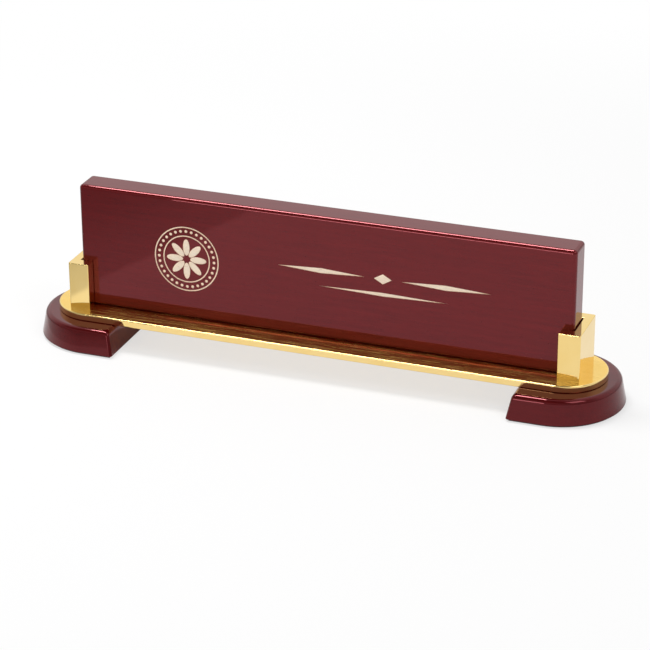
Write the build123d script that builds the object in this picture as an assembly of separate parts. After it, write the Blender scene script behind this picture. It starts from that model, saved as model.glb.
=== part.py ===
from build123d import *
import os

# Desk name plate: a glossy wooden board that stands in two brass end brackets, on a brass plate
# carried by two moulded wooden feet. Millimetres, +Z up. The origin is on the table under the
# middle of the object, +X runs along the board and the front faces -Y.

# Board
board_length = 254.0
board_height = 63.5
board_thickness = 15.2
board_edge_round = 1.1

# Room for the board in its brackets
face_clearance = 0.3
end_clearance = 0.4

# Brackets: channels that are open at the top and towards the middle
lip_thickness = 5.8
lip_overlap = 6.1
end_wall = 4.4
bracket_height = 23.5
bracket_corner_round = 0.9
bracket_edge_round = 0.35

# Base plate: a strip with half-round ends
plate_thickness = 3.6
plate_side_margin = 7.3
plate_end_margin = 10.2
plate_edge_round = 0.5

# Feet: D-shaped in plan, with a ledge on top, a rounded shoulder and a flared side
foot_height = 12.3
foot_length = 49.5
foot_side_margin = 11.3
foot_end_margin = 8.8
foot_flare = 2.5
foot_shoulder = 1.8
foot_corner_round = 0.9
foot_bottom_round = 0.5

# Felt under the feet
pad_thickness = 1.0
pad_inset = 1.5

# Screws that clamp a foot, the plate and a bracket together
screw_diameter = 3.0
screw_reach = 8.0
screw_head_diameter = 5.6
screw_head_height = 2.3
screw_head_round = 0.7
screw_slot_width = 0.8
screw_slot_depth = 1.0
washer_diameter = 7.0
washer_thickness = 0.6
counterbore_depth = 5.0

# Clearances round the screws, on the radius
thread_clearance = 0.05
hole_clearance = 0.2
counterbore_clearance = 0.6
tap_runout = 1.5

# How far a cutting shape runs past what it cuts
overrun = 5.0

# Heights of the layers above the table
foot_bottom = pad_thickness
plate_bottom = foot_bottom + foot_height
plate_top = plate_bottom + plate_thickness

# Places along X and half depths along Y
slot_half_depth = board_thickness / 2 + face_clearance
slot_end = board_length / 2 + end_clearance
bracket_half_depth = slot_half_depth + lip_thickness
bracket_inner = board_length / 2 - lip_overlap
bracket_outer = slot_end + end_wall
plate_half_depth = bracket_half_depth + plate_side_margin
plate_end = bracket_outer + plate_end_margin
foot_half_depth = plate_half_depth + foot_side_margin
foot_end = plate_end + foot_end_margin
foot_inner = foot_end - foot_length
foot_centre = foot_end - foot_half_depth

# Screws stand in the middle of the bracket's lips
screw_x = (bracket_inner + bracket_outer) / 2
screw_y = (slot_half_depth + bracket_half_depth) / 2
screw_places = [(screw_x, -screw_y), (screw_x, screw_y)]
hole_radius = screw_diameter / 2 + hole_clearance
counterbore_radius = washer_diameter / 2 + counterbore_clearance
washer_top = foot_bottom + counterbore_depth
washer_bottom = washer_top - washer_thickness


def rod(radius, bottom, top):
    """Upright cylinder on the Z axis between two heights."""
    return extrude(Pos(0, 0, bottom) * Circle(radius), amount=top - bottom)


def at_screws(shape):
    """Copies of a shape at both screw places of the right end."""
    return [Pos(x, y, 0) * shape for x, y in screw_places]


def name_board():
    """Upright slab with every edge rounded."""
    slab = Pos(0, 0, plate_top) * Box(
        board_length,
        board_thickness,
        board_height,
        align=(Align.CENTER, Align.CENTER, Align.MIN),
    )
    return fillet(slab.edges(), board_edge_round)


def bracket():
    """Channel round the right end of the board, with blind holes for the screws."""
    outline = Polyline(
        (bracket_inner, -bracket_half_depth),
        (bracket_outer, -bracket_half_depth),
        (bracket_outer, bracket_half_depth),
        (bracket_inner, bracket_half_depth),
        (bracket_inner, slot_half_depth),
        (slot_end, slot_half_depth),
        (slot_end, -slot_half_depth),
        (bracket_inner, -slot_half_depth),
        close=True,
    )
    channel = extrude(Pos(0, 0, plate_top) * make_face(outline), amount=bracket_height)
    uprights = channel.edges().filter_by(Axis.Z)
    channel = fillet(uprights.group_by(Axis.X)[-1], bracket_corner_round)
    lip_ends = channel.edges().filter_by(Axis.Z).group_by(Axis.X)[0]
    rim = channel.faces().sort_by(Axis.Z)[-1].edges()
    channel = fillet(lip_ends + rim, bracket_edge_round)
    tapped = rod(
        screw_diameter / 2 + thread_clearance,
        plate_top - overrun,
        plate_top + screw_reach + tap_runout,
    )
    return channel - at_screws(tapped)


def base_plate():
    """Strip with half-round ends, rounded edges and holes for the four screws."""
    strip = extrude(
        Pos(0, 0, plate_bottom) * SlotOverall(2 * plate_end, 2 * plate_half_depth),
        amount=plate_thickness,
    )
    rims = strip.edges().filter_by(Axis.Z, reverse=True)
    strip = fillet(rims, plate_edge_round)
    holes = at_screws(rod(hole_radius, plate_bottom - overrun, plate_top + overrun))
    return strip - holes - [mirror(hole, Plane.YZ) for hole in holes]


def moulding(reach, back):
    """Section of a moulded edge: flared towards its toe at reach, rounded over on to the ledge.

    The section runs from the height zero to foot_height, and inwards as far as back.
    """
    brink = (reach - foot_flare, foot_height)
    section = make_face(Polyline((reach, 0), brink, (back, foot_height), (back, 0), close=True))
    top_corners = section.vertices().group_by(Axis.Y)[-1]
    return fillet(top_corners.sort_by(Axis.X)[-1], foot_shoulder)


def foot():
    """Moulded foot of the right end, mitred where its sides meet the inner face."""
    edge = moulding(foot_half_depth, 0)
    round_end = revolve(Plane.XZ * edge, Axis.Z)
    straight = extrude(Plane.YZ * (edge + mirror(edge, Plane.YZ)), amount=-foot_half_depth)
    block = Pos(foot_centre, 0, foot_bottom) * (round_end + straight)

    # The inner face is the same kind of edge, run across the foot and facing -X
    inner_edge = mirror(moulding(-foot_inner, -foot_end - overrun), Plane.YZ)
    across = Pos(0, 0, foot_bottom) * extrude(
        Plane.XZ * inner_edge, amount=foot_half_depth + overrun, both=True
    )
    block &= across

    inner_ledge = foot_inner + foot_flare + foot_shoulder
    inner_edges = block.edges().filter_by(lambda line: line.center().X < inner_ledge)
    block = fillet(inner_edges.filter_by(Plane.XY, reverse=True), foot_corner_round)
    block = fillet(block.faces().sort_by(Axis.Z)[0].edges(), foot_bottom_round)

    holes = at_screws(rod(hole_radius, foot_bottom - overrun, plate_bottom + overrun))
    counterbores = at_screws(rod(counterbore_radius, foot_bottom - overrun, washer_top))
    return block - holes - counterbores


def felt_pad():
    """Flat D-shaped pad under the right foot, set in from its edge."""
    half_depth = foot_half_depth - pad_inset
    inner = foot_inner + pad_inset
    plan = Pos(foot_centre, 0) * Circle(half_depth)
    plan += Pos((inner + foot_centre) / 2, 0) * Rectangle(foot_centre - inner, 2 * half_depth)
    plan &= Pos(inner, 0) * Rectangle(
        foot_length + overrun, foot_half_depth * 2, align=(Align.MIN, Align.CENTER)
    )
    return extrude(plan, amount=pad_thickness)


def clamp_screw():
    """Round-headed screw with a driver slot, head down, on the Z axis."""
    head_bottom = washer_bottom - screw_head_height
    head = rod(screw_head_diameter / 2, head_bottom, washer_bottom)
    head = fillet(head.edges().sort_by(Axis.Z)[0], screw_head_round)
    head -= Pos(0, 0, head_bottom) * Box(
        screw_head_diameter + overrun, screw_slot_width, 2 * screw_slot_depth
    )
    return head + rod(screw_diameter / 2, washer_bottom, plate_top + screw_reach)


def washer():
    """Flat ring between a screw head and the foot, on the Z axis."""
    ring = rod(washer_diameter / 2, washer_bottom, washer_top)
    return ring - rod(hole_radius, washer_bottom - overrun, washer_top + overrun)


def save(node, shape):
    """Write one node."""
    export_step(shape, f"parts/{node}.step")


os.makedirs("parts", exist_ok=True)
save("name_board", name_board())
save("base_plate", base_plate())
right_end = {
    "bracket": bracket(),
    "foot": foot(),
    "felt_pad": felt_pad(),
    "bracket_screws": Compound(children=at_screws(clamp_screw())),
    "screw_washers": Compound(children=at_screws(washer())),
}
for piece, shape in right_end.items():
    save(f"right_{piece}", shape)
    save(f"left_{piece}", mirror(shape, Plane.YZ))
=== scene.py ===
import math

import bmesh
import bpy
from mathutils import Matrix, Vector


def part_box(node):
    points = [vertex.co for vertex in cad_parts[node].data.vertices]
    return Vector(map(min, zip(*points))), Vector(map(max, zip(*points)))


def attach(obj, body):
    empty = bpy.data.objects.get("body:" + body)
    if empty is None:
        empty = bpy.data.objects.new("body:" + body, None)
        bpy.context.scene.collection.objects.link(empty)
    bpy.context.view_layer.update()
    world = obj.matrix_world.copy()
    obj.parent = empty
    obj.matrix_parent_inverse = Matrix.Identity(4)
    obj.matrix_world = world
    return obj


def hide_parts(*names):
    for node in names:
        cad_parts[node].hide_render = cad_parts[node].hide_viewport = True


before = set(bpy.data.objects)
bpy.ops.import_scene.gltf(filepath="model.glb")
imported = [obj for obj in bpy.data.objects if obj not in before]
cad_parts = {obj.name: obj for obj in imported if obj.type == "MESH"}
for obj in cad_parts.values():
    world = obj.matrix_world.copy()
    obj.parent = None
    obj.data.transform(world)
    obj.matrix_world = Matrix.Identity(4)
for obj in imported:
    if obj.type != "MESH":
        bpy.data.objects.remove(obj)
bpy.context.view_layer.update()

# Desk name plate, in metres. +X runs along the board, its front faces -Y, and the desk is at
# Z = 0. The board rides on the body "board", and everything else on "base".
MM = 0.001
level_tolerance = 0.01 * MM
level_normal = 0.99
sharp_angle = math.radians(40)

# Board
board_low, board_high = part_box("name_board")
board_edge_round = 2.0 * MM
board_round_steps = 10

# Brackets, of which the right one is made and the left one is its mirror image
bracket_low, bracket_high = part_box("right_bracket")
face_clearance = 0.3 * MM
end_clearance = 0.4 * MM
bracket_corner_round = 0.9 * MM
bracket_edge_round = 0.35 * MM
bracket_round_steps = 4

# Base plate
plate_low, plate_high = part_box("base_plate")
plate_edge_round = 0.5 * MM
plate_round_steps = 4
half_turn_steps = 72

# Feet, of which the right one is made too
foot_low, foot_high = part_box("right_foot")
foot_height = foot_high[2] - foot_low[2]
foot_flare = 2.5 * MM
foot_lean = math.atan2(foot_flare, foot_height)
foot_shoulder = 2.6 * MM
foot_toe_trim = 0.112 * MM  # what rounding the toe takes off the foot's reach
foot_corner_round = 1.4 * MM
foot_toe_round = 0.61 * MM
shoulder_steps = 12
foot_round_steps = 4

# Felt under the feet
pad_low, pad_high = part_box("right_felt_pad")
pad_edge_round = 0.3 * MM
pad_round_steps = 3

# Holes for the screws, which keep the shapes of their nodes
screw_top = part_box("right_bracket_screws")[1][2]
washer_low, washer_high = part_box("right_screw_washers")
washer_radius = (washer_high[0] - washer_low[0]) / 2
screw_x = (washer_low[0] + washer_high[0]) / 2
screw_y = washer_high[1] - washer_radius
counterbore_clearance = 0.6 * MM
counterbore_radius = washer_radius + counterbore_clearance
hole_radius = 1.7 * MM
tapped_radius = 1.55 * MM
tap_runout = 1.5 * MM
bore_overrun = 5.0 * MM
bore_steps = 40

# Engraved ornament: a rosette in a beaded ring, and two rules with a lozenge between them
engraving_depth = 0.3 * MM
engraving_overrun = 1.0 * MM
rosette_x = -70 * MM
rosette_petals = 8
petal_length = 8.6 * MM
petal_width = 3.5 * MM
petal_gap = 1.9 * MM
ring_radii = (12.4 * MM, 17.0 * MM)
ring_width = 0.6 * MM
bead_count = 32
bead_radius = 0.75 * MM
bead_ring_radius = 14.6 * MM
rule_x = 32 * MM
rule_drop = 8.0 * MM
upper_rule_length = 108 * MM
upper_rule_width = 2.6 * MM
lower_rule_length = 66 * MM
lower_rule_width = 1.8 * MM
lozenge_length = 9.0 * MM
lozenge_width = 5.2 * MM
petal_steps = 32
bead_steps = 16
ring_steps = 96

# Wood: how much finer its pores are than its streaks
pore_fineness = 6.0

# Camera, as the photograph was taken
photo_pixels = 650
lens_pixels = 2600
sensor_width = 36
view_azimuth = math.radians(20.5)
view_elevation = math.radians(24.23)
view_roll = math.radians(-0.28)
view_distance = 1274.1 * MM
view_offset_right = -0.42 * MM
view_offset_up = 3.41 * MM

# World: an even fill light, white for the camera, and a room that only gloss shows. Heights in the
# room are the Z of a direction, and depths its Y.
ambient_strength = 0.34
background_strength = 1.0
room_front_strength = 0.5
room_high_front_strength = 0.12
room_back_strength = 1.0
room_front_top = 0.5
room_high_front_bottom = 0.7
room_side_depth = 0.35
room_horizon_share = 0.6
room_horizon_top = 0.35

# Floor. For the camera it glows in part near the object, where it keeps a soft shadow, and fully
# farther out. For gloss it glows a little up to a straight edge on the left, and is darker beyond.
floor_size = 8.0
floor_white = (0.92, 0.92, 0.92, 1)
floor_glow_share = 0.66
shadow_reach = 0.3
shadow_end = 0.6
floor_mirrored_share = 0.15
floor_beyond_share = 0.3
floor_far_share = 0.6
floor_edge_normal = (0.948, 0.319, 0.0)
floor_edge_place = -0.165
floor_edge_blur = 0.003
floor_edge_fade = 0.1


# Shader helpers

def new_material(name):
    """Empty node material, as (material, node tree)."""
    material = bpy.data.materials.new(name)
    material.use_nodes = True
    material.node_tree.nodes.clear()
    return material, material.node_tree


def set_inputs(node, **values):
    """Default values of inputs, by name with _ for a space."""
    for name, value in values.items():
        node.inputs[name.replace("_", " ")].default_value = value
    return node


def new_group(name, inputs, outputs):
    """Empty node group with its sockets, as (group, its inputs, its outputs)."""
    group = bpy.data.node_groups.new(name, "ShaderNodeTree")
    for socket, kind in inputs.items():
        group.interface.new_socket(socket, in_out="INPUT", socket_type=kind)
    for socket, kind in outputs.items():
        group.interface.new_socket(socket, in_out="OUTPUT", socket_type=kind)
    return group, group.nodes.new("NodeGroupInput"), group.nodes.new("NodeGroupOutput")


def place_group(tree, group, vector, **values):
    """Use of a node group in a material, with its own values."""
    node = tree.nodes.new("ShaderNodeGroup")
    node.node_tree = group
    tree.links.new(vector, node.inputs["Vector"])
    return set_inputs(node, **values)


def blend_colours(tree, factor, first, second):
    """Mix of two colours, each plain or linked, by a varying factor."""
    mix = tree.nodes.new("ShaderNodeMix")
    mix.data_type = "RGBA"
    tree.links.new(factor, mix.inputs["Factor"])
    for socket, colour in (("A", first), ("B", second)):
        target = [s for s in mix.inputs if s.name == socket and s.type == "RGBA"][0]
        if isinstance(colour, bpy.types.NodeSocket):
            tree.links.new(colour, target)
        else:
            target.default_value = (*colour, 1)
    return [s for s in mix.outputs if s.type == "RGBA"][0]


def remap(tree, value, low, high):
    """Value between 0 and 1 spread over low to high."""
    node = tree.nodes.new("ShaderNodeMapRange")
    tree.links.new(value, node.inputs["Value"])
    set_inputs(node, To_Min=low, To_Max=high)
    return node.outputs["Result"]


def ramp(tree, value, start, stop, low, high):
    """Value turned into a soft step from low at start to high at stop."""
    node = tree.nodes.new("ShaderNodeMapRange")
    node.interpolation_type = "SMOOTHSTEP"
    tree.links.new(value, node.inputs["Value"])
    set_inputs(node, From_Min=start, From_Max=stop, To_Min=low, To_Max=high)
    return node.outputs["Result"]


def bump(tree, height, distance, strength):
    """Normal from a height."""
    node = tree.nodes.new("ShaderNodeBump")
    tree.links.new(height, node.inputs["Height"])
    set_inputs(node, Distance=distance, Strength=strength)
    return node.outputs["Normal"]


def finish_material(tree, **sockets):
    """Principled shader at the end of a material: what varies is linked, plain values are set."""
    shader = tree.nodes.new("ShaderNodeBsdfPrincipled")
    output = tree.nodes.new("ShaderNodeOutputMaterial")
    for name, value in sockets.items():
        target = shader.inputs[name.replace("_", " ")]
        if isinstance(value, bpy.types.NodeSocket):
            tree.links.new(value, target)
        else:
            target.default_value = value
    tree.links.new(shader.outputs["BSDF"], output.inputs["Surface"])


def object_coordinates(tree):
    """Object coordinates of a piece, which are the shared frame's metres."""
    return tree.nodes.new("ShaderNodeTexCoord").outputs["Object"]


# Effects that several finishes share

def soft_patches_group():
    """Cloudy variation without a direction."""
    group, given, result = new_group(
        "soft_patches",
        {"Vector": "NodeSocketVector", "Scale": "NodeSocketFloat", "Detail": "NodeSocketFloat"},
        {"Patches": "NodeSocketFloat"},
    )
    noise = group.nodes.new("ShaderNodeTexNoise")
    for socket in ("Vector", "Scale", "Detail"):
        group.links.new(given.outputs[socket], noise.inputs[socket])
    patches = ramp(group, noise.outputs["Fac"], start=0.3, stop=0.7, low=0.0, high=1.0)
    group.links.new(patches, result.inputs["Patches"])
    return group


def long_streaks_group():
    """Streaks along X: wood grain with its pores, or polishing lines."""
    group, given, result = new_group(
        "long_streaks",
        {
            "Vector": "NodeSocketVector",
            "Scale": "NodeSocketFloat",
            "Stretch": "NodeSocketFloat",
            "Distortion": "NodeSocketFloat",
        },
        {"Streaks": "NodeSocketFloat", "Pores": "NodeSocketFloat"},
    )
    shape = group.nodes.new("ShaderNodeCombineXYZ")
    set_inputs(shape, Y=1.0, Z=1.0)
    group.links.new(given.outputs["Stretch"], shape.inputs["X"])
    squeezed = group.nodes.new("ShaderNodeVectorMath")
    squeezed.operation = "MULTIPLY"
    group.links.new(given.outputs["Vector"], squeezed.inputs[0])
    group.links.new(shape.outputs["Vector"], squeezed.inputs[1])
    streaks = group.nodes.new("ShaderNodeTexNoise")
    set_inputs(streaks, Detail=5.0, Roughness=0.6)
    group.links.new(squeezed.outputs["Vector"], streaks.inputs["Vector"])
    for socket in ("Scale", "Distortion"):
        group.links.new(given.outputs[socket], streaks.inputs[socket])
    finer = group.nodes.new("ShaderNodeMath")
    finer.operation = "MULTIPLY"
    finer.inputs[1].default_value = pore_fineness
    group.links.new(given.outputs["Scale"], finer.inputs[0])
    pores = group.nodes.new("ShaderNodeTexNoise")
    set_inputs(pores, Detail=2.0, Roughness=0.5)
    group.links.new(squeezed.outputs["Vector"], pores.inputs["Vector"])
    group.links.new(finer.outputs["Value"], pores.inputs["Scale"])
    sharp = group.nodes.new("ShaderNodeMapRange")
    set_inputs(sharp, From_Min=0.6, From_Max=0.72)
    group.links.new(pores.outputs["Fac"], sharp.inputs["Value"])
    group.links.new(streaks.outputs["Fac"], result.inputs["Streaks"])
    group.links.new(sharp.outputs["Result"], result.inputs["Pores"])
    return group


soft_patches = soft_patches_group()
long_streaks = long_streaks_group()


# Finishes

def red_lacquer_finish(name, tone, gloss):
    """Dark red wood under a thick clear gloss that takes up its red; a tone below 1 is painted
    shade.
    """
    material, tree = new_material(name)
    dark = Vector((0.05, 0.0017, 0.002)) * tone
    light = Vector((0.1, 0.0031, 0.0036)) * tone
    figured = Vector((0.085, 0.0028, 0.0028)) * tone
    pore = Vector((0.02, 0.001, 0.0012)) * tone
    place = object_coordinates(tree)
    grain = place_group(tree, long_streaks, place, Scale=420.0, Stretch=0.08, Distortion=0.35)
    figure = place_group(tree, soft_patches, place, Scale=45.0, Detail=2.0)
    ripple = place_group(tree, soft_patches, place, Scale=160.0, Detail=1.0)
    lightness = ramp(tree, grain.outputs["Streaks"], start=0.15, stop=0.85, low=0.0, high=1.0)
    wood = blend_colours(tree, lightness, dark, light)
    figure_share = remap(tree, figure.outputs["Patches"], low=0.0, high=0.6)
    warm = blend_colours(tree, figure_share, wood, figured)
    pore_share = remap(tree, grain.outputs["Pores"], low=0.0, high=0.5)
    finish_material(
        tree,
        Base_Color=blend_colours(tree, pore_share, warm, pore),
        Roughness=remap(tree, figure.outputs["Patches"], low=0.025, high=0.045),
        Normal=bump(tree, ripple.outputs["Patches"], distance=0.02 * MM, strength=0.25),
        IOR=1.55,
        Specular_IOR_Level=gloss,
        Specular_Tint=(1.0, 0.27, 0.3, 1.0),
    )
    return material


def bare_wood_finish():
    """Pale bare wood in the engraving and the screw holes."""
    material, tree = new_material("bare_wood")
    dark, light, pore = (0.94, 0.75, 0.56), (1.0, 0.89, 0.74), (0.45, 0.2, 0.13)
    place = object_coordinates(tree)
    grain = place_group(tree, long_streaks, place, Scale=900.0, Stretch=0.1, Distortion=0.35)
    fibre = place_group(tree, soft_patches, place, Scale=2500.0, Detail=3.0)
    pale = blend_colours(tree, grain.outputs["Streaks"], dark, light)
    pore_share = remap(tree, grain.outputs["Pores"], low=0.0, high=0.35)
    finish_material(
        tree,
        Base_Color=blend_colours(tree, pore_share, pale, pore),
        Roughness=remap(tree, fibre.outputs["Patches"], low=0.55, high=0.75),
        Normal=bump(tree, fibre.outputs["Patches"], distance=0.05 * MM, strength=0.5),
    )
    return material


def brass_finish():
    """Mirror-polished brass with faint buffing lines."""
    material, tree = new_material("mirror_brass")
    dull, bright = (0.90, 0.655, 0.25), (0.92, 0.69, 0.29)
    place = object_coordinates(tree)
    lines = place_group(tree, long_streaks, place, Scale=2600.0, Stretch=0.05, Distortion=0.0)
    bloom = place_group(tree, soft_patches, place, Scale=60.0, Detail=3.0)
    finish_material(
        tree,
        Base_Color=blend_colours(tree, bloom.outputs["Patches"], dull, bright),
        Metallic=1.0,
        Roughness=remap(tree, bloom.outputs["Patches"], low=0.05, high=0.085),
        Normal=bump(tree, lines.outputs["Streaks"], distance=0.003 * MM, strength=0.15),
    )
    return material


def brushed_brass_finish():
    """Brass brushed along X, which smears what it mirrors across the lines."""
    material, tree = new_material("brushed_brass")
    dull, bright = (0.92, 0.62, 0.155), (0.94, 0.65, 0.19)
    place = object_coordinates(tree)
    lines = place_group(tree, long_streaks, place, Scale=3000.0, Stretch=0.015, Distortion=0.0)
    bloom = place_group(tree, soft_patches, place, Scale=90.0, Detail=3.0)
    brushing = lines.outputs["Streaks"]
    across = tree.nodes.new("ShaderNodeTangent")
    across.direction_type = "RADIAL"
    across.axis = "X"
    finish_material(
        tree,
        Base_Color=blend_colours(tree, bloom.outputs["Patches"], dull, bright),
        Metallic=1.0,
        Roughness=ramp(tree, brushing, start=0.38, stop=0.66, low=0.07, high=0.28),
        Normal=bump(tree, brushing, distance=0.001 * MM, strength=0.25),
        Anisotropic=0.85,
        Tangent=across.outputs["Tangent"],
    )
    return material


def felt_finish():
    """Black pressed felt."""
    material, tree = new_material("pressed_felt")
    deep, loose = (0.004, 0.004, 0.005), (0.022, 0.021, 0.023)
    matted = (0.012, 0.011, 0.012)
    place = object_coordinates(tree)
    fibres = place_group(tree, soft_patches, place, Scale=3200.0, Detail=4.0)
    matting = place_group(tree, soft_patches, place, Scale=420.0, Detail=2.0)
    fibre = blend_colours(tree, fibres.outputs["Patches"], deep, loose)
    finish_material(
        tree,
        Base_Color=blend_colours(tree, matting.outputs["Patches"], fibre, matted),
        Roughness=remap(tree, matting.outputs["Patches"], low=0.9, high=1.0),
        Normal=bump(tree, fibres.outputs["Patches"], distance=0.2 * MM, strength=0.8),
        Sheen_Weight=0.35,
        Sheen_Roughness=0.5,
    )
    return material


def zinc_finish():
    """Bright zinc plating on the hidden screws and washers."""
    material, tree = new_material("zinc_plating")
    dull, bright = (0.55, 0.56, 0.58), (0.70, 0.71, 0.72)
    place = object_coordinates(tree)
    spangle = place_group(tree, soft_patches, place, Scale=900.0, Detail=3.0)
    finish_material(
        tree,
        Base_Color=blend_colours(tree, spangle.outputs["Patches"], dull, bright),
        Metallic=1.0,
        Roughness=remap(tree, spangle.outputs["Patches"], low=0.25, high=0.42),
    )
    return material


board_lacquer = red_lacquer_finish("board_lacquer", tone=1.0, gloss=1.0)
# The feet take the board's lacquer, made darker and less glossy: painted shade.
painted_shade_foot_lacquer = red_lacquer_finish("painted_shade_foot_lacquer", tone=0.75, gloss=0.75)
bare_wood = bare_wood_finish()
mirror_brass = brass_finish()
brushed_brass = brushed_brass_finish()
pressed_felt = felt_finish()
zinc_plating = zinc_finish()


# Mesh helpers

def verts_in(geometry):
    """Vertices among what an operator gives back."""
    return [item for item in geometry if isinstance(item, bmesh.types.BMVert)]


def edges_in(geometry):
    """Edges among what an operator gives back."""
    return [item for item in geometry if isinstance(item, bmesh.types.BMEdge)]


def is_level(edge, height):
    """Whether both ends of an edge lie at a height."""
    return all(abs(vert.co.z - height) < level_tolerance for vert in edge.verts)


def round_edges(bm, edges, radius, steps):
    """Bevel edges with an arc."""
    bmesh.ops.bevel(
        bm,
        geom=list(edges),
        offset=radius,
        offset_type="OFFSET",
        affect="EDGES",
        segments=steps,
        profile=0.5,
        material=-1,
        clamp_overlap=True,
    )


def arc_from(bm, start, centre_x, steps):
    """Half a turn of edges from a vertex, about an upright axis at Y = 0, as its last vertex."""
    made = bmesh.ops.spin(
        bm,
        geom=[start],
        cent=(centre_x, 0, start.co.z),
        axis=(0, 0, 1),
        angle=math.pi,
        steps=steps,
        use_merge=False,
    )
    return verts_in(made["geom_last"])[0]


def fill_and_raise(bm, height):
    """Close the outline that a bmesh holds and pull it up into a slab."""
    face = bmesh.ops.contextual_create(bm, geom=bm.edges[:])["faces"][0]
    raised = bmesh.ops.extrude_face_region(bm, geom=[face])["geom"]
    bmesh.ops.translate(bm, vec=(0, 0, height), verts=verts_in(raised))
    bmesh.ops.recalc_face_normals(bm, faces=bm.faces[:])


def mirror_ends(bm):
    """Turn a right-hand shape into the left-hand one."""
    bmesh.ops.scale(bm, vec=(-1, 1, 1), verts=bm.verts[:])
    bmesh.ops.recalc_face_normals(bm, faces=bm.faces[:])


def make_piece(name, bm, finish):
    """Object at the origin, with a bmesh's shape and one finish."""
    mesh = bpy.data.meshes.new(name)
    bm.to_mesh(mesh)
    bm.free()
    mesh.materials.append(finish)
    piece = bpy.data.objects.new(name, mesh)
    bpy.context.scene.collection.objects.link(piece)
    return piece


def keep_faces_flat(piece):
    """Smooth shading in which the large faces stay flat and sharp corners stay sharp."""
    piece.data.shade_smooth()
    piece.data.set_sharp_from_angle(angle=sharp_angle)
    weighted = piece.modifiers.new("flat_faces", "WEIGHTED_NORMAL")
    weighted.keep_sharp = True


def carve(piece, cutter):
    """Take a cutter's solids out of a piece, and give the cut faces the cutter's finish."""
    cut = piece.modifiers.new("cut", "BOOLEAN")
    cut.operation = "DIFFERENCE"
    cut.solver = "EXACT"
    cut.material_mode = "TRANSFER"
    cut.object = cutter
    evaluated = piece.evaluated_get(bpy.context.evaluated_depsgraph_get())
    piece.data = bpy.data.meshes.new_from_object(evaluated)
    piece.modifiers.remove(cut)
    bpy.data.objects.remove(cutter)


def drill(piece, ends, radius, low, high, finish):
    """Upright holes at the screws of one end, or of both."""
    bm = bmesh.new()
    for x in ends:
        for y in (-screw_y, screw_y):
            rod = bmesh.ops.create_cone(
                bm,
                cap_ends=True,
                segments=bore_steps,
                radius1=radius,
                radius2=radius,
                depth=high - low,
            )["verts"]
            bmesh.ops.translate(bm, vec=(x, y, (low + high) / 2), verts=rod)
    carve(piece, make_piece("bore_cutter", bm, finish))


def end_of(side):
    """Where the screws of a side stand along X."""
    return -screw_x if side == "left" else screw_x


def fit_piece(piece, body, slot, *nodes):
    """Attach a piece to the body it rides on and hide the nodes it stands for; the slot is not
    used.
    """
    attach(piece, body)
    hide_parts(*nodes)


# Board and its engraving

def disc(bm, radius, steps):
    """Flat disc round the origin, as its vertices."""
    return bmesh.ops.create_circle(bm, cap_ends=True, segments=steps, radius=radius)["verts"]


def lozenge(bm, x, y, length, width):
    """Flat lozenge, which is a swelled rule where it is long."""
    corners = disc(bm, radius=1.0, steps=4)
    bmesh.ops.scale(bm, vec=(length / 2, width / 2, 1), verts=corners)
    bmesh.ops.translate(bm, vec=(x, y, 0), verts=corners)


def thin_ring(bm, x, radius):
    """Flat ring."""
    rims = []
    for rim_radius in (radius, radius - ring_width):
        circle = bmesh.ops.create_circle(
            bm, cap_ends=False, segments=ring_steps, radius=rim_radius
        )
        rim = circle["verts"]
        bmesh.ops.translate(bm, vec=(x, 0, 0), verts=rim)
        rims += {edge for vert in rim for edge in vert.link_edges}
    bmesh.ops.bridge_loops(bm, edges=rims)


def ornament_shapes(bm):
    """Flat shapes of the ornament in the XY plane, whose origin is the middle of the front."""
    for turn in range(rosette_petals):
        petal = disc(bm, petal_length / 2, petal_steps)
        bmesh.ops.scale(bm, vec=(1, petal_width / petal_length, 1), verts=petal)
        bmesh.ops.translate(bm, vec=(petal_gap + petal_length / 2, 0, 0), verts=petal)
        turned = Matrix.Rotation(turn * math.tau / rosette_petals, 4, "Z")
        placed = Matrix.Translation((rosette_x, 0, 0)) @ turned
        bmesh.ops.transform(bm, matrix=placed, verts=petal)
    for turn in range(bead_count):
        bead = disc(bm, bead_radius, bead_steps)
        angle = turn * math.tau / bead_count
        x = rosette_x + bead_ring_radius * math.cos(angle)
        y = bead_ring_radius * math.sin(angle)
        bmesh.ops.translate(bm, vec=(x, y, 0), verts=bead)
    for radius in ring_radii:
        thin_ring(bm, rosette_x, radius)
    half_rule = upper_rule_length / 2 - lozenge_length
    for side in (-1, 1):
        middle = rule_x + side * (lozenge_length + half_rule / 2)
        lozenge(bm, middle, rule_drop / 2, half_rule, upper_rule_width)
    lozenge(bm, rule_x, rule_drop / 2, lozenge_length, lozenge_width)
    lozenge(bm, rule_x, -rule_drop / 2, lower_rule_length, lower_rule_width)


def ornament_cutter():
    """Closed solids that reach from in front of the board down to the depth of the engraving."""
    bm = bmesh.new()
    ornament_shapes(bm)
    pulled = bmesh.ops.extrude_face_region(bm, geom=bm.faces[:])["geom"]
    depth = engraving_depth + engraving_overrun
    bmesh.ops.translate(bm, vec=(0, 0, -depth), verts=verts_in(pulled))
    bmesh.ops.recalc_face_normals(bm, faces=bm.faces[:])
    upright = Matrix.Rotation(math.pi / 2, 4, "X")
    middle = (board_low[2] + board_high[2]) / 2
    front = Matrix.Translation((0, board_low[1] - engraving_overrun, middle))
    bmesh.ops.transform(bm, matrix=front @ upright, verts=bm.verts[:])
    return make_piece("engraving_cutter", bm, bare_wood)


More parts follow.
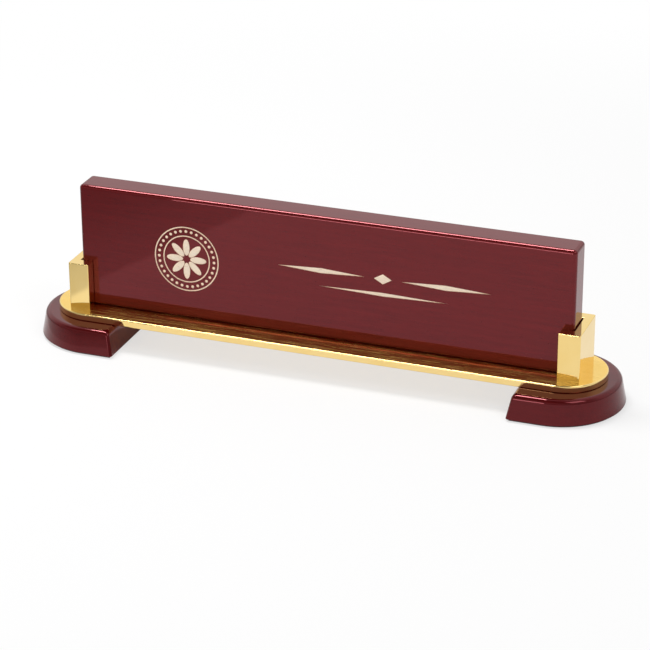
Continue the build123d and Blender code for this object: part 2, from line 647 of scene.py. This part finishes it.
def lacquered_board():
    """Slab with rounded edges, engraved on its front."""
    size = Vector(board_high) - Vector(board_low)
    centre = (Vector(board_high) + Vector(board_low)) / 2
    bm = bmesh.new()
    bmesh.ops.create_cube(bm, size=1.0)
    bmesh.ops.scale(bm, vec=size, verts=bm.verts[:])
    bmesh.ops.translate(bm, vec=centre, verts=bm.verts[:])
    round_edges(bm, bm.edges, board_edge_round, board_round_steps)
    board = make_piece("lacquered_board", bm, board_lacquer)
    carve(board, ornament_cutter())
    keep_faces_flat(board)
    fit_piece(board, "board", "red_wood_lacquer", "name_board")


# Brass

def stands_at(edge, x):
    """Whether a bracket's edge is one of the upright ones at a place along X."""
    first, second = (vert.co for vert in edge.verts)
    upright = abs(first.z - second.z) > bracket_corner_round
    return upright and all(abs(end.x - x) < bracket_edge_round for end in (first, second))


def channel_bracket(side):
    """Channel round one end of the board, open at the top and towards the middle."""
    inner, outer = bracket_low[0], bracket_high[0]
    depth = bracket_high[1]
    slot_depth = board_high[1] + face_clearance
    slot_end = board_high[0] + end_clearance
    corners = [
        (inner, -depth),
        (outer, -depth),
        (outer, depth),
        (inner, depth),
        (inner, slot_depth),
        (slot_end, slot_depth),
        (slot_end, -slot_depth),
        (inner, -slot_depth),
    ]
    bm = bmesh.new()
    outline = [bm.verts.new((x, y, bracket_low[2])) for x, y in corners]
    for first, second in zip(outline, outline[1:] + outline[:1]):
        bm.edges.new((first, second))
    fill_and_raise(bm, bracket_high[2] - bracket_low[2])
    corner_edges = [e for e in bm.edges if stands_at(e, outer)]
    round_edges(bm, corner_edges, bracket_corner_round, bracket_round_steps)
    lip_ends = [e for e in bm.edges if stands_at(e, inner)]
    rim = [e for e in bm.edges if is_level(e, bracket_high[2])]
    round_edges(bm, set(lip_ends + rim), bracket_edge_round, bracket_round_steps)
    if side == "left":
        mirror_ends(bm)
    bracket = make_piece(f"{side}_brass_channel", bm, mirror_brass)
    below, tapped_top = bracket_low[2] - bore_overrun, screw_top + tap_runout
    drill(bracket, [end_of(side)], tapped_radius, below, tapped_top, mirror_brass)
    keep_faces_flat(bracket)
    fit_piece(bracket, "base", "polished_brass", f"{side}_bracket")


def brass_plate():
    """Strip with half-round ends and eased edges, brushed on its faces and polished elsewhere."""
    radius = plate_high[1]
    end_x = plate_high[0] - radius
    bm = bmesh.new()
    right_start = bm.verts.new((end_x, -radius, plate_low[2]))
    right_stop = arc_from(bm, right_start, end_x, half_turn_steps)
    left_start = bm.verts.new((-end_x, radius, plate_low[2]))
    left_stop = arc_from(bm, left_start, -end_x, half_turn_steps)
    bm.edges.new((right_stop, left_start))
    bm.edges.new((left_stop, right_start))
    fill_and_raise(bm, plate_high[2] - plate_low[2])
    rims = [e for e in bm.edges if is_level(e, plate_low[2]) or is_level(e, plate_high[2])]
    round_edges(bm, rims, plate_edge_round, plate_round_steps)
    for face in bm.faces:
        face.material_index = 0 if abs(face.normal.z) > level_normal else 1
    plate = make_piece("brass_strip", bm, brushed_brass)
    plate.data.materials.append(mirror_brass)
    below, above = plate_low[2] - bore_overrun, plate_high[2] + bore_overrun
    drill(plate, [-screw_x, screw_x], hole_radius, below, above, mirror_brass)
    keep_faces_flat(plate)
    fit_piece(plate, "base", "polished_brass", "base_plate")


# Feet and felt

def moulding_inset(height):
    """How far a moulded edge lies inside its toe at a height above the foot's bottom."""
    rise = height - foot_height + foot_shoulder
    if rise < foot_shoulder * math.sin(foot_lean):
        return foot_flare * height / foot_height
    ledge = foot_flare + foot_shoulder * math.tan(math.pi / 4 - foot_lean / 2)
    return ledge - math.sqrt(max(foot_shoulder ** 2 - rise ** 2, 0))


def moulding_heights():
    """Heights above the foot's bottom at which the moulding has an edge, from the ledge down."""
    sweep = math.pi / 2 - foot_lean
    turns = [sweep * k / shoulder_steps for k in range(shoulder_steps + 1)]
    return [foot_height - foot_shoulder * (1 - math.cos(turn)) for turn in turns] + [0]


def moulded_foot(side):
    """D-shaped foot: a moulding spun round the end, run inwards and mitred across the inside."""
    half_depth = foot_high[1] + foot_toe_trim
    centre_x = foot_high[0] + foot_toe_trim - half_depth
    inner_x = foot_low[0] - foot_toe_trim
    bm = bmesh.new()
    profile = [
        bm.verts.new((centre_x, moulding_inset(height) - half_depth, foot_low[2] + height))
        for height in moulding_heights()
    ]
    front = [bm.edges.new(pair) for pair in zip(profile, profile[1:])]
    spun = bmesh.ops.spin(
        bm,
        geom=front,
        cent=(centre_x, 0, 0),
        axis=(0, 0, 1),
        angle=math.pi,
        steps=half_turn_steps,
        use_merge=False,
    )
    back = edges_in(spun["geom_last"])
    mitres = []
    for run in (front, back):
        ends = set(verts_in(bmesh.ops.extrude_edge_only(bm, edges=run)["geom"]))
        for vert in ends:
            vert.co.x = inner_x + moulding_inset(vert.co.z - foot_low[2])
        mitres += [e for e in bm.edges if e.verts[0] in ends and e.verts[1] in ends]
    bmesh.ops.bridge_loops(bm, edges=mitres)
    for height in (foot_low[2], foot_high[2]):
        rim = [e for e in bm.edges if e.is_boundary and is_level(e, height)]
        bmesh.ops.contextual_create(bm, geom=rim)
    bmesh.ops.recalc_face_normals(bm, faces=bm.faces[:])
    round_edges(bm, mitres, foot_corner_round, foot_round_steps)
    toe = [e for e in bm.edges if is_level(e, foot_low[2])]
    round_edges(bm, toe, foot_toe_round, foot_round_steps)
    if side == "left":
        mirror_ends(bm)
    foot = make_piece(f"{side}_moulded_foot", bm, painted_shade_foot_lacquer)
    below, above = foot_low[2] - bore_overrun, foot_high[2] + bore_overrun
    drill(foot, [end_of(side)], counterbore_radius, below, washer_high[2], bare_wood)
    drill(foot, [end_of(side)], hole_radius, below, above, bare_wood)
    keep_faces_flat(foot)
    fit_piece(foot, "base", "red_wood_lacquer", f"{side}_foot")


def felt_pad(side):
    """Pressed felt under a foot, with soft edges."""
    radius = pad_high[1]
    centre_x = pad_high[0] - radius
    inner_x = pad_low[0]
    bm = bmesh.new()
    start = bm.verts.new((centre_x, -radius, pad_low[2]))
    stop = arc_from(bm, start, centre_x, half_turn_steps)
    back_corner = bm.verts.new((inner_x, radius, pad_low[2]))
    front_corner = bm.verts.new((inner_x, -radius, pad_low[2]))
    for pair in ((stop, back_corner), (back_corner, front_corner), (front_corner, start)):
        bm.edges.new(pair)
    fill_and_raise(bm, pad_high[2] - pad_low[2])
    rims = [e for e in bm.edges if is_level(e, pad_low[2]) or is_level(e, pad_high[2])]
    round_edges(bm, rims, pad_edge_round, pad_round_steps)
    if side == "left":
        mirror_ends(bm)
    pad = make_piece(f"{side}_pressed_felt", bm, pressed_felt)
    keep_faces_flat(pad)
    fit_piece(pad, "base", "black_felt", f"{side}_felt_pad")


def plated_fasteners():
    """Zinc finish on the screws and washers, whose shapes stay."""
    for side in ("left", "right"):
        for node in (f"{side}_bracket_screws", f"{side}_screw_washers"):
            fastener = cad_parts[node]
            fastener.data.materials.clear()
            fastener.data.materials.append(zinc_plating)


lacquered_board()
brass_plate()
for end in ("left", "right"):
    channel_bracket(end)
    moulded_foot(end)
    felt_pad(end)
plated_fasteners()


# Studio

def ray_is(tree, *kinds):
    """1 for rays of these kinds, else 0."""
    path = tree.nodes.new("ShaderNodeLightPath")
    seen = path.outputs[kinds[0]]
    for kind in kinds[1:]:
        either = tree.nodes.new("ShaderNodeMath")
        either.operation = "MAXIMUM"
        tree.links.new(seen, either.inputs[0])
        tree.links.new(path.outputs[kind], either.inputs[1])
        seen = either.outputs["Value"]
    return seen


def switch(tree, factor, first, second):
    """First value where the factor is 0, second where it is 1: numbers or sockets."""
    mix = tree.nodes.new("ShaderNodeMix")
    tree.links.new(factor, mix.inputs["Factor"])
    for socket, value in (("A", first), ("B", second)):
        if isinstance(value, bpy.types.NodeSocket):
            tree.links.new(value, mix.inputs[socket])
        else:
            mix.inputs[socket].default_value = value
    return mix.outputs["Result"]


def pale_floor():
    """Large pale floor that glows where it is seen and keeps a soft shadow."""
    bm = bmesh.new()
    bmesh.ops.create_grid(bm, x_segments=1, y_segments=1, size=floor_size / 2)
    material, tree = new_material("pale_floor")
    place = object_coordinates(tree)
    matt = set_inputs(tree.nodes.new("ShaderNodeBsdfDiffuse"), Color=floor_white)
    away = tree.nodes.new("ShaderNodeVectorMath")
    away.operation = "LENGTH"
    tree.links.new(place, away.inputs[0])
    reach = away.outputs["Value"]
    seen_share = ramp(tree, reach, shadow_reach, shadow_end, floor_glow_share, 1.0)

    # What gloss shows, on either side of the edge
    across = tree.nodes.new("ShaderNodeVectorMath")
    across.operation = "DOT_PRODUCT"
    across.inputs[1].default_value = floor_edge_normal
    tree.links.new(place, across.inputs[0])
    spot = across.outputs["Value"]
    edge_start, edge_end = floor_edge_place - floor_edge_blur, floor_edge_place + floor_edge_blur
    inside = ramp(tree, spot, edge_start, edge_end, 0.0, 1.0)
    fade_start = floor_edge_place - floor_edge_fade
    beyond = ramp(tree, spot, fade_start, floor_edge_place, floor_far_share, floor_beyond_share)
    mirrored_share = switch(tree, inside, beyond, floor_mirrored_share)

    in_gloss = ray_is(tree, "Is Glossy Ray", "Is Transmission Ray")
    share = switch(tree, in_gloss, 0.0, mirrored_share)
    share = switch(tree, ray_is(tree, "Is Camera Ray"), share, seen_share)
    glow = set_inputs(tree.nodes.new("ShaderNodeEmission"), Color=(1, 1, 1, 1))
    tree.links.new(switch(tree, in_gloss, background_strength, inside), glow.inputs["Strength"])
    mix = tree.nodes.new("ShaderNodeMixShader")
    tree.links.new(share, mix.inputs["Fac"])
    tree.links.new(matt.outputs["BSDF"], mix.inputs[1])
    tree.links.new(glow.outputs["Emission"], mix.inputs[2])
    output = tree.nodes.new("ShaderNodeOutputMaterial")
    tree.links.new(mix.outputs["Shader"], output.inputs["Surface"])
    make_piece("pale_floor", bm, material)


def direction(azimuth, elevation):
    """Unit vector away from the object: azimuth 0 is in front, and a quarter turn on the right."""
    return Vector((
        math.sin(azimuth) * math.cos(elevation),
        -math.cos(azimuth) * math.cos(elevation),
        math.sin(elevation),
    ))


def mirrored_room(tree):
    """Room in the gloss: pale at the back, dark high up in front and darker near the horizon."""
    towards = tree.nodes.new("ShaderNodeTexCoord").outputs["Generated"]
    parts = tree.nodes.new("ShaderNodeSeparateXYZ")
    tree.links.new(towards, parts.inputs["Vector"])
    height, depth = parts.outputs["Z"], parts.outputs["Y"]
    front = ramp(
        tree,
        height,
        room_front_top,
        room_high_front_bottom,
        room_front_strength,
        room_high_front_strength,
    )
    behind = ramp(tree, depth, -room_side_depth, room_side_depth, 0.0, 1.0)
    walls = switch(tree, behind, front, room_back_strength)
    rise = ramp(tree, height, 0.0, room_horizon_top, room_horizon_share, 1.0)
    room = tree.nodes.new("ShaderNodeMath")
    room.operation = "MULTIPLY"
    tree.links.new(walls, room.inputs[0])
    tree.links.new(rise, room.inputs[1])
    return room.outputs["Value"]


def pale_world():
    """White for the camera, the room for gloss, and an even fill light for the rest."""
    world = bpy.data.worlds.new("pale_room")
    bpy.context.scene.world = world
    world.use_nodes = True
    tree = world.node_tree
    tree.nodes.clear()
    mirrored = ray_is(tree, "Is Glossy Ray", "Is Transmission Ray")
    strength = switch(tree, mirrored, ambient_strength, mirrored_room(tree))
    strength = switch(tree, ray_is(tree, "Is Camera Ray"), strength, background_strength)
    background = set_inputs(tree.nodes.new("ShaderNodeBackground"), Color=(1, 1, 1, 1))
    tree.links.new(strength, background.inputs["Strength"])
    output = tree.nodes.new("ShaderNodeOutputWorld")
    tree.links.new(background.outputs["Background"], output.inputs["Surface"])


def softbox(name, azimuth, elevation, distance, size, power, aside=0):
    """Area lamp turned to the object and then moved aside along X, with its angles in degrees."""
    turn, tilt = math.radians(azimuth), math.radians(elevation)
    lamp = bpy.data.lights.new(name, "AREA")
    lamp.shape = "RECTANGLE"
    lamp.size, lamp.size_y = size
    lamp.energy = power
    holder = bpy.data.objects.new(name, lamp)
    holder.location = direction(turn, tilt) * distance + Vector((aside, 0, 0))
    holder.rotation_euler = (math.pi / 2 - tilt, 0, turn)
    bpy.context.scene.collection.objects.link(holder)


def photo_camera():
    """Camera that looks at the middle of the plate's top."""
    back = direction(view_azimuth, view_elevation)
    level_right = Vector((0, 0, 1)).cross(back).normalized()
    level_up = back.cross(level_right)
    right = math.cos(view_roll) * level_right + math.sin(view_roll) * level_up
    up = back.cross(right)
    aim = Vector((0, 0, plate_high[2])) + view_offset_right * right + view_offset_up * up
    camera = bpy.data.objects.new("camera", bpy.data.cameras.new("camera"))
    camera.data.sensor_width = sensor_width
    camera.data.lens = lens_pixels / photo_pixels * sensor_width
    turn = Matrix((right, up, back)).transposed().to_4x4()
    camera.matrix_world = Matrix.Translation(aim + view_distance * back) @ turn
    bpy.context.scene.collection.objects.link(camera)
    bpy.context.scene.camera = camera


pale_floor()
pale_world()
softbox(
    "top_softbox",
    azimuth=180,
    elevation=85,
    distance=1.5,
    size=(0.6, 0.4),
    power=16.5,
    aside=-0.46,
)
softbox("side_softbox", azimuth=60, elevation=50, distance=1.5, size=(0.6, 0.6), power=4)
softbox("low_softbox", azimuth=-15, elevation=6.5, distance=1.6, size=(0.55, 0.34), power=3.5)
photo_camera()
bpy.context.scene.view_settings.view_transform = "Standard"
